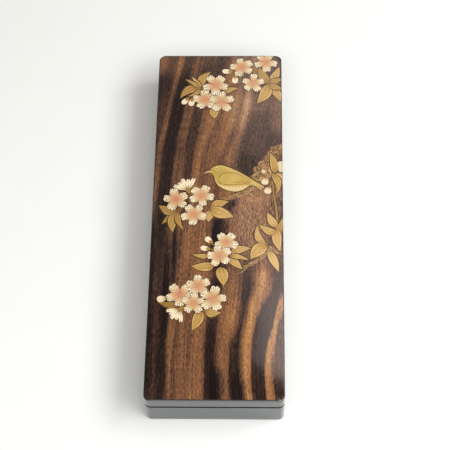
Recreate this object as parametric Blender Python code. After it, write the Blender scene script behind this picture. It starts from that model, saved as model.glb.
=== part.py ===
"""A long lacquered writing box: a black lacquered base tray, and a shallow lid with a striped ebony top.

The lid meets the base flush, over a thin rim that stands up inside the base's walls.
Units are metres and +Z is up. The origin is the middle of the underside, and the length runs along Y.
"""

import bmesh
import bpy
from mathutils import Matrix

# Outside sizes of the closed box
BOX_LENGTH = 0.246
BOX_WIDTH = 0.080
BASE_HEIGHT = 0.0173
LID_HEIGHT = 0.0091

# Base tray: its walls, floor and standing rim
WALL = 0.0040
FLOOR = 0.0030
RIM_THICKNESS = 0.0015
RIM_ROOT = 0.0020

# Lid: the lacquered carcass, and the board glued on top of it
LID_CEILING = 0.0020
BOARD_THICKNESS = 0.0016

# Clearances between pieces
SEAM_GAP = 0.0006
RIM_CLEARANCE = 0.0003
RIM_HEADROOM = 0.0018
GLUE_GAP = 0.0003

# Rounded corners in plan, and rounded edges in section
CORNER_RADIUS = 0.0035
CAVITY_CORNER_RADIUS = 0.0010
TOP_EDGE_RADIUS = 0.0004
SEAM_EDGE_RADIUS = 0.0005
FOOT_EDGE_RADIUS = 0.0008
RIM_EDGE_RADIUS = 0.0004
FLOOR_FILLET = 0.0008
CORNER_SEGMENTS = 8
EDGE_SEGMENTS = 3
CUT_MARGIN = 0.0020
LARGEST_FILLET_SHARE = 0.8
SMOOTH_BELOW_ANGLE = 0.7

# Heights and sizes that follow from the values above
SEAM_TOP = BASE_HEIGHT + SEAM_GAP
BOARD_TOP = SEAM_TOP + LID_HEIGHT
BOARD_BOTTOM = BOARD_TOP - BOARD_THICKNESS
CARCASS_TOP = BOARD_BOTTOM - GLUE_GAP
LID_CEILING_HEIGHT = CARCASS_TOP - LID_CEILING
RIM_TOP = LID_CEILING_HEIGHT - RIM_HEADROOM
LID_WALL = WALL - RIM_THICKNESS - RIM_CLEARANCE
RIM_CORNER_RADIUS = CAVITY_CORNER_RADIUS + RIM_THICKNESS
LID_CAVITY_RADIUS = RIM_CORNER_RADIUS + RIM_CLEARANCE

# Finishes: colour, roughness and metallic value
FINISHES = {
    "black_lacquer": ((0.012, 0.011, 0.011, 1.0), 0.12, 0.0),
    "striped_ebony": ((0.095, 0.045, 0.023, 1.0), 0.16, 0.0),
}


def clear_scene():
    for obj in list(bpy.data.objects):
        bpy.data.objects.remove(obj)


def new_collection(name):
    collection = bpy.data.collections.new(name)
    bpy.context.scene.collection.children.link(collection)
    return collection


def finish(name):
    colour, roughness, metallic = FINISHES[name]
    material = bpy.data.materials.new(name)
    material.use_nodes = True
    shader = material.node_tree.nodes["Principled BSDF"]
    shader.inputs["Base Color"].default_value = colour
    shader.inputs["Roughness"].default_value = roughness
    shader.inputs["Metallic"].default_value = metallic
    return material


def limited(radius, *walls):
    """A fillet no larger than the walls and corners beside it leave room for."""
    return min(radius, *(LARGEST_FILLET_SHARE * wall for wall in walls))


def round_edges(bm, edges, radius, segments):
    bmesh.ops.bevel(
        bm,
        geom=edges,
        offset=radius,
        offset_type="OFFSET",
        segments=segments,
        profile=0.5,
        affect="EDGES",
        clamp_overlap=True,
        material=-1,
    )


def end_edges(bm, pick):
    """The edges around a block's lowest face, with min, or around its highest one, with max."""
    end = pick(bm.faces, key=lambda face: face.calc_center_median().z)
    return list(end.edges)


def rounded_block(name, inset, bottom, top, corner, bottom_edge=0.0, top_edge=0.0):
    """A block inset from the box's outline, from bottom to top, with rounded corners and edges."""
    width = BOX_WIDTH - 2 * inset
    length = BOX_LENGTH - 2 * inset
    bm = bmesh.new()
    bmesh.ops.create_cube(bm, size=1.0)
    bmesh.ops.transform(
        bm,
        matrix=Matrix.Diagonal((width, length, top - bottom, 1.0)),
        verts=bm.verts,
    )
    middle = (bottom + top) / 2
    bmesh.ops.translate(bm, vec=(0.0, 0.0, middle), verts=bm.verts)
    level = end_edges(bm, min) + end_edges(bm, max)
    uprights = [edge for edge in bm.edges if edge not in level]
    round_edges(bm, uprights, corner, CORNER_SEGMENTS)
    if bottom_edge:
        round_edges(bm, end_edges(bm, min), bottom_edge, EDGE_SEGMENTS)
    if top_edge:
        round_edges(bm, end_edges(bm, max), top_edge, EDGE_SEGMENTS)
    mesh = bpy.data.meshes.new(name)
    bm.to_mesh(mesh)
    bm.free()
    return bpy.data.objects.new(name, mesh)


def add_piece(obj, collection, material):
    collection.objects.link(obj)
    obj.data.materials.append(material)
    obj.data.shade_smooth()
    obj.data.set_sharp_from_angle(angle=SMOOTH_BELOW_ANGLE)
    return obj


def add_tool(obj, collection):
    collection.objects.link(obj)
    obj.hide_render = True
    obj.display_type = "WIRE"
    return obj


def combine(piece, tool, operation):
    modifier = piece.modifiers.new(operation.lower() + " " + tool.name, "BOOLEAN")
    modifier.operation = operation
    modifier.solver = "EXACT"
    modifier.object = tool


def make_base(pieces, tools, lacquer):
    """The tray: a solid block, a rim standing on its walls, and one hollow cut down through both."""
    foot = limited(FOOT_EDGE_RADIUS, CORNER_RADIUS, FLOOR)
    shoulder = limited(SEAM_EDGE_RADIUS, CORNER_RADIUS, LID_WALL)
    base = rounded_block("base", 0.0, 0.0, BASE_HEIGHT, CORNER_RADIUS, foot, shoulder)
    add_piece(base, pieces, lacquer)

    rim_inset = WALL - RIM_THICKNESS
    rim_edge = limited(RIM_EDGE_RADIUS, RIM_THICKNESS, RIM_CORNER_RADIUS)
    rim_foot = BASE_HEIGHT - RIM_ROOT
    rim = rounded_block("rim_block", rim_inset, rim_foot, RIM_TOP, RIM_CORNER_RADIUS, top_edge=rim_edge)
    combine(base, add_tool(rim, tools), "UNION")

    fillet = limited(FLOOR_FILLET, CAVITY_CORNER_RADIUS, FLOOR)
    above = RIM_TOP + CUT_MARGIN
    hollow = rounded_block("base_hollow", WALL, FLOOR, above, CAVITY_CORNER_RADIUS, bottom_edge=fillet)
    combine(base, add_tool(hollow, tools), "DIFFERENCE")
    return base


def make_lid(pieces, tools, lacquer):
    """The lid's carcass: a block hollowed from below, so that its walls pass outside the base's rim."""
    edge = limited(SEAM_EDGE_RADIUS, CORNER_RADIUS, LID_WALL)
    lid = rounded_block("lid", 0.0, SEAM_TOP, CARCASS_TOP, CORNER_RADIUS, bottom_edge=edge)
    add_piece(lid, pieces, lacquer)

    fillet = limited(FLOOR_FILLET, LID_CAVITY_RADIUS, LID_CEILING)
    below = SEAM_TOP - CUT_MARGIN
    hollow = rounded_block(
        "lid_hollow", LID_WALL, below, LID_CEILING_HEIGHT, LID_CAVITY_RADIUS, top_edge=fillet
    )
    combine(lid, add_tool(hollow, tools), "DIFFERENCE")
    return lid


def make_top_board(pieces, ebony):
    """The board of striped ebony glued on the lid, with its upper edge rounded over."""
    edge = limited(TOP_EDGE_RADIUS, CORNER_RADIUS, BOARD_THICKNESS)
    board = rounded_block("lid_top_board", 0.0, BOARD_BOTTOM, BOARD_TOP, CORNER_RADIUS, top_edge=edge)
    return add_piece(board, pieces, ebony)


def main():
    clear_scene()
    pieces = new_collection("lacquer_box")
    tools = new_collection("cutters")
    lacquer = finish("black_lacquer")
    make_base(pieces, tools, lacquer)
    make_lid(pieces, tools, lacquer)
    make_top_board(pieces, finish("striped_ebony"))


main()
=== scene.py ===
# %% [markdown]
# # A long lacquered writing box with a painted lid
#
# The object is a low box for pens and writing brushes. Its tray and lid are wood under polished black
# lacquer. The lid's top is a thin board of striped ebony, painted with blossoms, gold leaves and a small
# bird, and all of it lies under one more coat of clear lacquer.
#
# This file is a lesson in cells. It starts from the measured solids of the box, makes a finer mesh for each
# piece, gives each finish its own node material, and sets up a pale table with soft studio light.

# %% Load the measured box
import math
import random

import bmesh
import bpy
from mathutils import Matrix, Vector, noise


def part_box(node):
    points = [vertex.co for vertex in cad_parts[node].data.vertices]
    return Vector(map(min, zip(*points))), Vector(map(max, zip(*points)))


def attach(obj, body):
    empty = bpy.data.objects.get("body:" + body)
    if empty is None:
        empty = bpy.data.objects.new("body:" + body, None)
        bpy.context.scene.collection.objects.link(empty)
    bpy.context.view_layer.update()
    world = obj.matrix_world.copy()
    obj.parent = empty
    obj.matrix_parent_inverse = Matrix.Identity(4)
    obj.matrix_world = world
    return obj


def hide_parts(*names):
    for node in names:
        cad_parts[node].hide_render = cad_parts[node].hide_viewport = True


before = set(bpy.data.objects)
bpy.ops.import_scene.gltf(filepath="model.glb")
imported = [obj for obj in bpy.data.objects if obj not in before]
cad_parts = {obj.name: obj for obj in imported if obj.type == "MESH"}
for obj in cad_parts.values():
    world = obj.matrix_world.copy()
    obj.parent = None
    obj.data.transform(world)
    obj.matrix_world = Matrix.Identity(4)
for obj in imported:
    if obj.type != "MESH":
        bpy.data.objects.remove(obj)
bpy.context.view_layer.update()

print("nodes:", ", ".join(sorted(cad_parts)))

# %% [markdown]
# ## Sizes
#
# The outside sizes are read from the measured solids, so the finer meshes can't drift away from them.
# What the outside doesn't show, such as the walls, is a named size in metres.

# %% Read the sizes
MM = 0.001
_, base_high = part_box("base")
lid_low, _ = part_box("lid")
board_low, board_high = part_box("lid_top_board")

HALF_WIDTH = board_high.x
HALF_LENGTH = board_high.y
BOARD_TOP = board_high.z
BOARD_BOTTOM = board_low.z
LID_BOTTOM = lid_low.z
RIM_TOP = base_high.z
SEAM_GAP = 0.6 * MM
GLUE_GAP = 0.3 * MM
BASE_HEIGHT = LID_BOTTOM - SEAM_GAP

WALL = 4.0 * MM
FLOOR = 3.0 * MM
RIM_INSET = 2.5 * MM
LID_WALL = 2.2 * MM
LID_CEILING = 2.0 * MM

CORNER = 3.5 * MM
RIM_CORNER = 2.5 * MM
CAVITY_CORNER = 1.0 * MM
LID_CAVITY_CORNER = 2.8 * MM
TOP_EDGE = 0.4 * MM
SEAM_EDGE = 0.5 * MM
FOOT_EDGE = 0.8 * MM
RIM_EDGE = 0.4 * MM
INNER_FILLET = 0.8 * MM
print(f"the box is {2 * HALF_WIDTH / MM:.1f} x {2 * HALF_LENGTH / MM:.1f} x {BOARD_TOP / MM:.1f} mm")

# %% [markdown]
# ## The camera
#
# The photograph was taken from in front of the box and well above it, with a long lens. A camera is an
# object with a place, a turn and a focal length. These were worked out from the corners of the lid and the
# foot of the box, so the outline falls where the photograph has it.

# %% Set up the camera
CAMERA_PLACE = (0.02142, -0.42692, 0.71426)
CAMERA_HEADING = math.radians(0.191)
CAMERA_PITCH = math.radians(31.399)
CAMERA_ROLL = math.radians(1.093)
CAMERA_LENS_MM = 106.2
SENSOR_WIDTH_MM = 36.0

camera_data = bpy.data.cameras.new("camera")
camera_data.lens = CAMERA_LENS_MM
camera_data.sensor_width = SENSOR_WIDTH_MM
camera = bpy.data.objects.new("camera", camera_data)
bpy.context.scene.collection.objects.link(camera)
camera.matrix_world = (
    Matrix.Translation(CAMERA_PLACE)
    @ Matrix.Rotation(CAMERA_HEADING, 4, "Z")
    @ Matrix.Rotation(CAMERA_PITCH, 4, "X")
    @ Matrix.Rotation(CAMERA_ROLL, 4, "Y")
)
bpy.context.scene.camera = camera
bpy.context.scene.view_settings.view_transform = "Standard"
print(f"the camera is {camera.location.length:.2f} m from the box, with a {CAMERA_LENS_MM:.0f} mm lens")

# %% [markdown]
# ## Two helpers for materials
#
# Colours are written as the hex values that a paint program shows. Blender's shaders work with linear
# light, so one function turns each value round. A second function adds a node, with its own settings and
# with a value or a link for each of its sockets, and every material below is built with it. A third one
# only starts an empty material.


# %% Colours and nodes
def linear(hex_colour):
    """An sRGB colour such as #C8A564 as the linear values that a shader takes."""
    channels = [int(hex_colour[i : i + 2], 16) / 255 for i in (1, 3, 5)]
    lit = [c / 12.92 if c <= 0.04045 else ((c + 0.055) / 1.055) ** 2.4 for c in channels]
    return (*lit, 1.0)


def node(tree, kind, sockets=None, stops=None, **settings):
    """Adds a node. Each socket gets a value, an output, or a node, whose first output in use is linked."""
    made = tree.nodes.new(kind)
    for name, value in settings.items():
        setattr(made, name, value)
    for name, value in (sockets or {}).items():
        if isinstance(value, bpy.types.Node):
            value = next(output for output in value.outputs if output.enabled)
        if isinstance(value, bpy.types.NodeSocket):
            tree.links.new(value, made.inputs[name])
        else:
            made.inputs[name].default_value = value
    if stops:
        ramp = made.color_ramp.elements
        while len(ramp) < len(stops):
            ramp.new(1.0)
        for element, (place, colour) in zip(ramp, stops):
            element.position = place
            element.color = colour
    return made


def new_material(name):
    """A material with an empty node tree, ready for its own nodes."""
    material = bpy.data.materials.new(name)
    material.use_nodes = True
    material.node_tree.nodes.clear()
    return material, material.node_tree


# %% [markdown]
# ## Polished black lacquer
#
# Black lacquer is brushed on in many thin coats and polished with powder until it mirrors the room. What
# shows is hardly its own colour, which is nearly black, but what it reflects: the white table in the front
# faces, and a dark room in the rounded edges. A clear coat over a smooth base gives that double gloss. The
# gloss of the lower coats is tinted a little blue.
#
# Three things keep it from looking like plate glass: very low waves about a centimetre and a half long,
# faint level streaks a little bluer than the black, and the uneven haze that polishing leaves. The streaks
# are partly marks of the brush and partly painted reflection, tinting the faces the blue-grey that they
# mirror.
# Where an edge is worn, patches of the brown ground coat show. Along the seam the gloss is all but taken off,
# so that the seam's edges read as a dark line: painted shade for the gap between lid and tray.


# %% Make the black lacquer
def black_lacquer():
    """Lacquer, worn brown where edge_wear is high, and matt as painted shade where the attribute matt is."""
    material, tree = new_material("polished_black_lacquer")
    place = node(tree, "ShaderNodeTexCoord").outputs["Object"]

    # The level streaks run round the box, about a millimetre and a half apart. They are partly brush marks
    # and partly painted reflection, the blue-grey that the faces mirror.
    level = node(tree, "ShaderNodeMapping", {"Vector": place, "Scale": (0.012 / MM, 0.012 / MM, 0.7 / MM)})
    streak_noise = node(tree, "ShaderNodeTexNoise", {"Vector": level, "Scale": 1.0, "Detail": 2.0})
    streak_share = node(tree, "ShaderNodeMapRange", {"Value": streak_noise, "From Min": 0.42, "From Max": 0.62})
    brush_and_sheen = node(
        tree,
        "ShaderNodeMix",
        {"Factor": streak_share, 6: linear("#121110"), 7: linear("#212B34")},
        data_type="RGBA",
    )

    # The ground coat shows in patches about a centimetre across.
    wear = node(tree, "ShaderNodeAttribute", attribute_name="edge_wear").outputs["Fac"]
    patches = node(
        tree, "ShaderNodeTexNoise", {"Vector": place, "Scale": 1 / (9 * MM), "Detail": 4.0, "Roughness": 0.6}
    )
    worn = node(tree, "ShaderNodeMapRange", {"Value": patches, "From Min": 0.52, "From Max": 0.72})
    shown = node(tree, "ShaderNodeMath", {0: wear, 1: worn}, operation="MULTIPLY")
    colour = node(
        tree, "ShaderNodeMix", {"Factor": shown, 6: brush_and_sheen, 7: linear("#4A2C1C")}, data_type="RGBA"
    )

    # The gloss goes from the seam's edges, where the attribute matt is: painted shade, so that they read
    # as the shade in the gap between lid and tray.
    matt = node(tree, "ShaderNodeAttribute", attribute_name="matt").outputs["Fac"]
    gloss = node(tree, "ShaderNodeMapRange", {"Value": matt, "To Min": 1.0, "To Max": 0.08})
    under_gloss = node(tree, "ShaderNodeMapRange", {"Value": matt, "To Min": 0.5, "To Max": 0.04})

    # Polishing haze in spots of a few millimetres, and the low waves.
    haze = node(
        tree,
        "ShaderNodeTexNoise",
        {"Vector": place, "Scale": 1 / (2.5 * MM), "Detail": 6.0, "Roughness": 0.7},
    )
    roughness = node(
        tree,
        "ShaderNodeMapRange",
        {"Value": haze, "From Min": 0.3, "From Max": 0.7, "To Min": 0.07, "To Max": 0.16},
    )
    waves = node(tree, "ShaderNodeTexNoise", {"Vector": place, "Scale": 1 / (14 * MM), "Detail": 1.0})
    relief = node(tree, "ShaderNodeBump", {"Height": waves, "Strength": 1.0, "Distance": 0.02 * MM})
    shader = node(
        tree,
        "ShaderNodeBsdfPrincipled",
        {
            "Base Color": colour,
            "Roughness": roughness,
            "IOR": 1.52,
            "Specular IOR Level": under_gloss,
            "Specular Tint": (0.82, 0.91, 1.0, 1.0),
            "Coat Weight": gloss,
            "Coat Roughness": 0.05,
            "Coat IOR": 1.5,
            "Normal": relief,
            "Coat Normal": relief,
        },
    )
    node(tree, "ShaderNodeOutputMaterial", {"Surface": shader})
    return material


BLACK_LACQUER = black_lacquer()
print("material:", BLACK_LACQUER.name)

# %% [markdown]
# ## The clear lacquer
#
# The wood and the paint on it lie under the same clear coats, polished smooth. In Blender that is a shader's
# coat over a rougher colour. Only the coat gets the very low waves, through its own normal, so the colour
# under it stays flat. One function ends a material that way, and the ebony and all the paints use it.

# %% Put the clear lacquer on
CLEAR_WAVE = 16 * MM
CLEAR_WAVE_DEPTH = 0.03 * MM
CLEAR_COAT = {"Coat Weight": 1.0, "Coat Roughness": 0.06, "Coat IOR": 1.5}


def under_clear_lacquer(tree, sockets):
    """Ends a material with a shader of these sockets, under a clear polished coat with very low waves."""
    place = node(tree, "ShaderNodeTexCoord").outputs["Object"]
    waves = node(tree, "ShaderNodeTexNoise", {"Vector": place, "Scale": 1 / CLEAR_WAVE, "Detail": 1.0})
    relief = node(tree, "ShaderNodeBump", {"Height": waves, "Strength": 1.0, "Distance": CLEAR_WAVE_DEPTH})
    shader = node(tree, "ShaderNodeBsdfPrincipled", {**sockets, **CLEAR_COAT, "Coat Normal": relief})
    node(tree, "ShaderNodeOutputMaterial", {"Surface": shader})


# %% [markdown]
# ## Striped ebony under clear lacquer
# Two of the heart's lightening spots, at the far left end, are painted reflection: the lacquer's pale haze.
#
# Striped ebony is cut so that its growth layers run along the board as bands, from nearly black to a
# golden brown. Three things make it look real: bands of unlike width whose edges wander, fine fibres along
# them, and pores, the short dark dashes where the saw opened the wood's vessels.
#
# A texture could only run the bands straight. So the board's mesh carries its own attributes. In grain, the
# first two numbers say where a point lay before the wood grew crooked, and the third how far the figure has
# changed from the front end's bands to the back's. Fibre leads the fine detail along the board. Heart
# says how much the heartwood darkens a point, how calm the wood is there and how strong its fibres are.
# The bands themselves are two colour ramps across the grain, one for each end of the board.

# %% Name the bands of the wood
GRAIN_SPAN = 80.0
# Each band: its place across the grain in millimetres, and its tone from 0, black, to 1, golden.
FRONT_BANDS = (
    (-40, 0.02), (-37.5, 0.08), (-35.5, 0.24), (-33.8, 0.16), (-31.5, 0.06), (-29, 0.12), (-27.4, 0.42),
    (-25.6, 0.54), (-23.6, 0.36), (-19.5, 0.56), (-16.2, 0.44), (-13.5, 0.56), (-10.4, 0.54), (-8.2, 0.58),
    (-6.6, 0.46), (-5.2, 0.12), (-2.5, 0.06), (-0.4, 0.14), (1.8, 0.44), (5.2, 0.6), (8.2, 0.5), (10.2, 0.16),
    (14.4, 0.12), (16.8, 0.68), (18.8, 1.0), (21.2, 0.7), (22.7, 0.14), (28.8, 0.12), (30, 0.84),
    (32.6, 0.8), (33.9, 0.28), (37, 0.26),
)
BACK_BANDS = (
    (-40, 0.12), (-38, 0.46), (-36, 0.36), (-34.5, 0.08), (-31, 0.03), (-28.5, 0.08), (-27, 0.34),
    (-24, 0.46), (-21.5, 0.38), (-20, 0.22), (-17.8, 0.2), (-16.2, 0.36), (-14.6, 0.6), (-13.2, 0.66),
    (-11.8, 0.42), (-10.4, 0.48), (-8, 0.54), (-6.4, 0.46), (-5.3, 0.34), (-4.2, 0.48), (-2.5, 0.72),
    (-0.6, 0.6), (1.4, 0.36), (4, 0.28), (9, 0.3), (15, 0.28), (19, 0.32), (23, 0.4), (28, 0.42),
)
print(len(FRONT_BANDS), "stops for the front end's bands and", len(BACK_BANDS), "for the back's")


def band_stops(bands):
    """A ramp's stops for these bands, in greys."""
    return [(0.5 + place / GRAIN_SPAN, (tone, tone, tone, 1.0)) for place, tone in bands]


# %% [markdown]
# ## Fine detail of the wood
#
# The fine detail comes from noise that is stretched along the grain. Growth lines are about a millimetre
# wide and 55 mm long, fibres half a millimetre wide and 3 mm long, and clumps of fibres about 2 mm wide and
# 6 mm long. They lighten and darken the bands, and only then is the tone turned into a colour of wood.

# %% Name the patterns of the wood
# Each pattern: how often it repeats in a millimetre, across and along, its detail, roughness and strength.
WOOD_PATTERNS = {
    "growth": (0.85, 0.018, 3.0, 0.62, 0.2),
    "fibres": (1.9, 0.32, 3.0, 0.6, 0.2),
    "clumps": (0.55, 0.17, 2.0, 0.5, 0.06),
}
BAND_WANDER = 1.1
WOOD_COLOURS = (
    (0.0, "#1A1413"), (0.16, "#30231F"), (0.36, "#5A4032"), (0.6, "#845B40"), (0.8, "#9E704A"),
    (1.0, "#BC8D5B"),
)
print("patterns:", ", ".join(WOOD_PATTERNS))


# %% Build the tone of the wood
def wood_bands(tree, fibre):
    """The tone of the bands, which wander by about a millimetre over some 40 mm of their length."""
    grain = node(tree, "ShaderNodeAttribute", attribute_name="grain").outputs["Vector"]
    slow = node(tree, "ShaderNodeMapping", {"Vector": fibre, "Scale": (0.25 / MM, 0.022 / MM, 1.0)})
    wander = node(tree, "ShaderNodeTexNoise", {"Vector": slow, "Scale": 1.0, "Detail": 2.0})
    reach = BAND_WANDER / GRAIN_SPAN
    sway = node(
        tree,
        "ShaderNodeMapRange",
        {"Value": wander, "From Min": 0.25, "From Max": 0.75, "To Min": -reach, "To Max": reach},
    )
    axes = node(tree, "ShaderNodeSeparateXYZ", {"Vector": grain})
    half = 0.5 * GRAIN_SPAN * MM
    across = node(
        tree,
        "ShaderNodeMapRange",
        {"Value": axes.outputs["X"], "From Min": -half, "From Max": half},
        clamp=False,
    )
    swayed = node(tree, "ShaderNodeMath", {0: across, 1: sway})
    front = node(tree, "ShaderNodeValToRGB", {"Fac": swayed}, band_stops(FRONT_BANDS))
    back = node(tree, "ShaderNodeValToRGB", {"Fac": swayed}, band_stops(BACK_BANDS))
    return node(tree, "ShaderNodeMix", {"Factor": axes.outputs["Z"], 6: front, 7: back}, data_type="RGBA")


def wood_patterns(tree, fibre):
    """Noise for each pattern, and the tone that each one adds or takes away."""
    textures, tones = {}, {}
    for name, (across, along, detail, roughness, strength) in WOOD_PATTERNS.items():
        drawn_out = node(
            tree, "ShaderNodeMapping", {"Vector": fibre, "Scale": (across / MM, along / MM, 1.0)}
        )
        textures[name] = node(
            tree,
            "ShaderNodeTexNoise",
            {"Vector": drawn_out, "Scale": 1.0, "Detail": detail, "Roughness": roughness},
        )
        tones[name] = node(
            tree,
            "ShaderNodeMapRange",
            {
                "Value": textures[name],
                "From Min": 0.25,
                "From Max": 0.75,
                "To Min": -strength,
                "To Max": strength,
            },
            clamp=False,
        )
    return textures, tones


# %% Make the ebony
def striped_ebony():
    """Ebony whose bands, fibres and pores follow the board's own grain, under a clear gloss."""
    material, tree = new_material("striped_ebony_under_clear_lacquer")
    fibre = node(tree, "ShaderNodeAttribute", attribute_name="fibre").outputs["Vector"]
    heart = node(tree, "ShaderNodeAttribute", attribute_name="heart").outputs["Vector"]
    heart = node(tree, "ShaderNodeSeparateXYZ", {"Vector": heart})
    darker, calmness, fineness = (heart.outputs[axis] for axis in "XYZ")
    bands = wood_bands(tree, fibre)
    textures, tones = wood_patterns(tree, fibre)

    # The fibres of a dark band are dark on dark, so they show less. Growth lines are faint in calm wood.
    shown = node(
        tree,
        "ShaderNodeMapRange",
        {"Value": bands, "From Min": 0.1, "From Max": 0.45, "To Min": 0.65, "To Max": 1.0},
    )
    calm = node(tree, "ShaderNodeMapRange", {"Value": calmness, "To Min": 1.0, "To Max": 0.35})
    fine_tone = node(tree, "ShaderNodeMath", {0: tones["fibres"], 1: tones["clumps"]})
    tone = bands
    for added, strength in ((tones["growth"], calm), (fine_tone, fineness)):
        share = node(tree, "ShaderNodeMath", {0: strength, 1: shown}, operation="MULTIPLY")
        tone = node(tree, "ShaderNodeMath", {0: added, 1: share, 2: tone}, operation="MULTIPLY_ADD")
    hearted = node(tree, "ShaderNodeMath", {0: tone, 1: darker}, operation="SUBTRACT", use_clamp=True)
    wood = node(
        tree,
        "ShaderNodeValToRGB",
        {"Fac": hearted},
        [(stop, linear(hex_colour)) for stop, hex_colour in WOOD_COLOURS],
    )

    # Pores are dashes about 0.3 mm wide and 1.5 mm long, one to each 0.6 x 3 mm of wood, and most of them
    # lie in the clumps. Real ones are half as wide, and would not show.
    dashes = node(tree, "ShaderNodeMapping", {"Vector": fibre, "Scale": (1.7 / MM, 0.34 / MM, 1.0)})
    vessels = node(
        tree,
        "ShaderNodeTexVoronoi",
        {"Vector": dashes, "Scale": 1.0, "Randomness": 1.0},
        voronoi_dimensions="2D",
    )
    pores = node(
        tree,
        "ShaderNodeMapRange",
        {"Value": vessels, "From Min": 0.14, "From Max": 0.34, "To Min": 0.85, "To Max": 0.0},
        interpolation_type="SMOOTHSTEP",
    )
    open_share = node(
        tree,
        "ShaderNodeMapRange",
        {"Value": textures["clumps"], "From Min": 0.35, "From Max": 0.65, "To Min": 0.15, "To Max": 1.0},
    )
    open_pores = node(tree, "ShaderNodeMath", {0: pores, 1: open_share}, operation="MULTIPLY")
    pored = node(
        tree, "ShaderNodeMix", {"Factor": open_pores, 6: wood, 7: linear("#2A1A14")}, data_type="RGBA"
    )

    # The wood is greyer where it is calm: partly its own colour, and partly painted reflection, the pale
    # haze that the lacquer shows over the back right of the board.
    saturation = node(tree, "ShaderNodeMapRange", {"Value": calmness, "To Min": 1.03, "To Max": 0.86})
    toned = node(tree, "ShaderNodeHueSaturation", {"Color": pored, "Saturation": saturation})

    # Black lacquer runs over the board's edge, glossy in its lower coats too.
    lacquered = node(tree, "ShaderNodeAttribute", attribute_name="lacquered").outputs["Fac"]
    edged = node(
        tree, "ShaderNodeMix", {"Factor": lacquered, 6: toned, 7: linear("#14110F")}, data_type="RGBA"
    )
    under_gloss = node(tree, "ShaderNodeMapRange", {"Value": lacquered, "To Min": 0.0, "To Max": 0.5})
    roughness = node(tree, "ShaderNodeMapRange", {"Value": lacquered, "To Min": 0.5, "To Max": 0.1})
    under_clear_lacquer(
        tree, {"Base Color": edged, "Roughness": roughness, "Specular IOR Level": under_gloss}
    )
    return material


STRIPED_EBONY = striped_ebony()
print("material:", STRIPED_EBONY.name)

# %% [markdown]
# ## Pieces from a mesh
#
# Every piece is modelled with bmesh, Blender's own mesh editor for scripts. One function turns a bmesh into
# a finished piece: it points the faces outwards, shades it smooth up to a set angle, and lets it ride on
# the box's only body. Its object stays at the origin, and its place is in its mesh.

# %% Finish a piece
SMOOTH_BELOW = math.radians(35)


def finish_piece(name, bm, material, replaced=()):
    """Makes the bmesh an object that stands for the solids named in replaced."""
    bmesh.ops.recalc_face_normals(bm, faces=bm.faces)
    mesh = bpy.data.meshes.new(name)
    bm.to_mesh(mesh)
    bm.free()
    mesh.materials.append(material)
    mesh.shade_smooth()
    mesh.set_sharp_from_angle(angle=SMOOTH_BELOW)
    piece = bpy.data.objects.new(name, mesh)
    bpy.context.scene.collection.objects.link(piece)
    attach(piece, "root")
    if replaced:
        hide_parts(*replaced)
    triangles = sum(len(face.vertices) - 2 for face in mesh.polygons)
    print(f"{name}: {triangles} triangles, {piece.dimensions.x / MM:.1f} x {piece.dimensions.y / MM:.1f} mm")


# %% [markdown]
# ## The box from its section
#
# A turned pot is a profile spun about its axis. A box with rounded corners is nearly the same: its profile
# is carried round a rounded rectangle. So each point of the profile, given by how far it stands in from
# the outline and how high, becomes one closed loop, and neighbouring loops are bridged with faces. That
# gives every edge its true small radius, which is what catches the light.
#
# Each point of the profile also says how worn and how matt the lacquer is there, and its loop carries both
# as attributes for the material.

# %% Loops and bridges
CORNER_STEPS = 12
EDGE_STEPS = 5
STACK_STEP = 1.0 * MM
LEAST_CORNER = 0.1 * MM


def rounded_loop(bm, inset, height, corner):
    """A face with the box's outline drawn in by inset, its corners rounded to this radius."""
    corners = bmesh.ops.create_grid(bm, x_segments=1, y_segments=1, size=1.0)["verts"]
    bmesh.ops.scale(bm, vec=(HALF_WIDTH - inset, HALF_LENGTH - inset, 1.0), verts=corners)
    bmesh.ops.translate(bm, vec=(0.0, 0.0, height), verts=corners)
    old = {face for face in bm.faces if corners[0] not in face.verts}
    bmesh.ops.bevel(
        bm,
        geom=corners,
        offset=corner,
        segments=CORNER_STEPS,
        profile=0.5,
        affect="VERTICES",
        material=-1,
    )
    return next(face for face in bm.faces if face not in old)


def round_over(inset, height, radius, start, end):
    """Points of a profile round a centre, as (inset, height). 0 degrees points out, and 90 points up."""
    turns = [math.radians(start + (end - start) * i / EDGE_STEPS) for i in range(EDGE_STEPS + 1)]
    return [(inset - radius * math.cos(a), height + radius * math.sin(a)) for a in turns]


def carry_round(bm, profile):
    """Bridges the profile's loops, and closes its two ends with flat faces.

    Two loops in one plane could be bridged crosswise. So the loops are first stacked a step apart, and
    they go to their own heights once they are bridged.
    """
    wear = bm.verts.layers.float.new("edge_wear")
    matt = bm.verts.layers.float.new("matt")
    faces, heights = [], []
    for i, (inset, height, corner, worn, dull) in enumerate(profile):
        face = rounded_loop(bm, inset, i * STACK_STEP, corner)
        for vert in face.verts:
            vert[wear] = worn
            vert[matt] = dull
        faces.append(face)
        heights.append(height)
    loops = [list(face.edges) for face in faces]
    rings = [list(face.verts) for face in faces]
    bmesh.ops.delete(bm, geom=faces[1:-1], context="FACES_ONLY")
    for lower, upper in zip(loops, loops[1:]):
        bmesh.ops.bridge_loops(bm, edges=lower + upper)
    for ring, height in zip(rings, heights):
        for vert in ring:
            vert.co.z = height


def wall(points, reference_inset, reference_corner, worn=0.0, dull=0.0):
    """Profile points of one wall: the corner radius shrinks as the wall stands further in."""
    return [
        (inset, height, max(reference_corner - (inset - reference_inset), LEAST_CORNER), worn, dull)
        for inset, height in points
    ]


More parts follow.
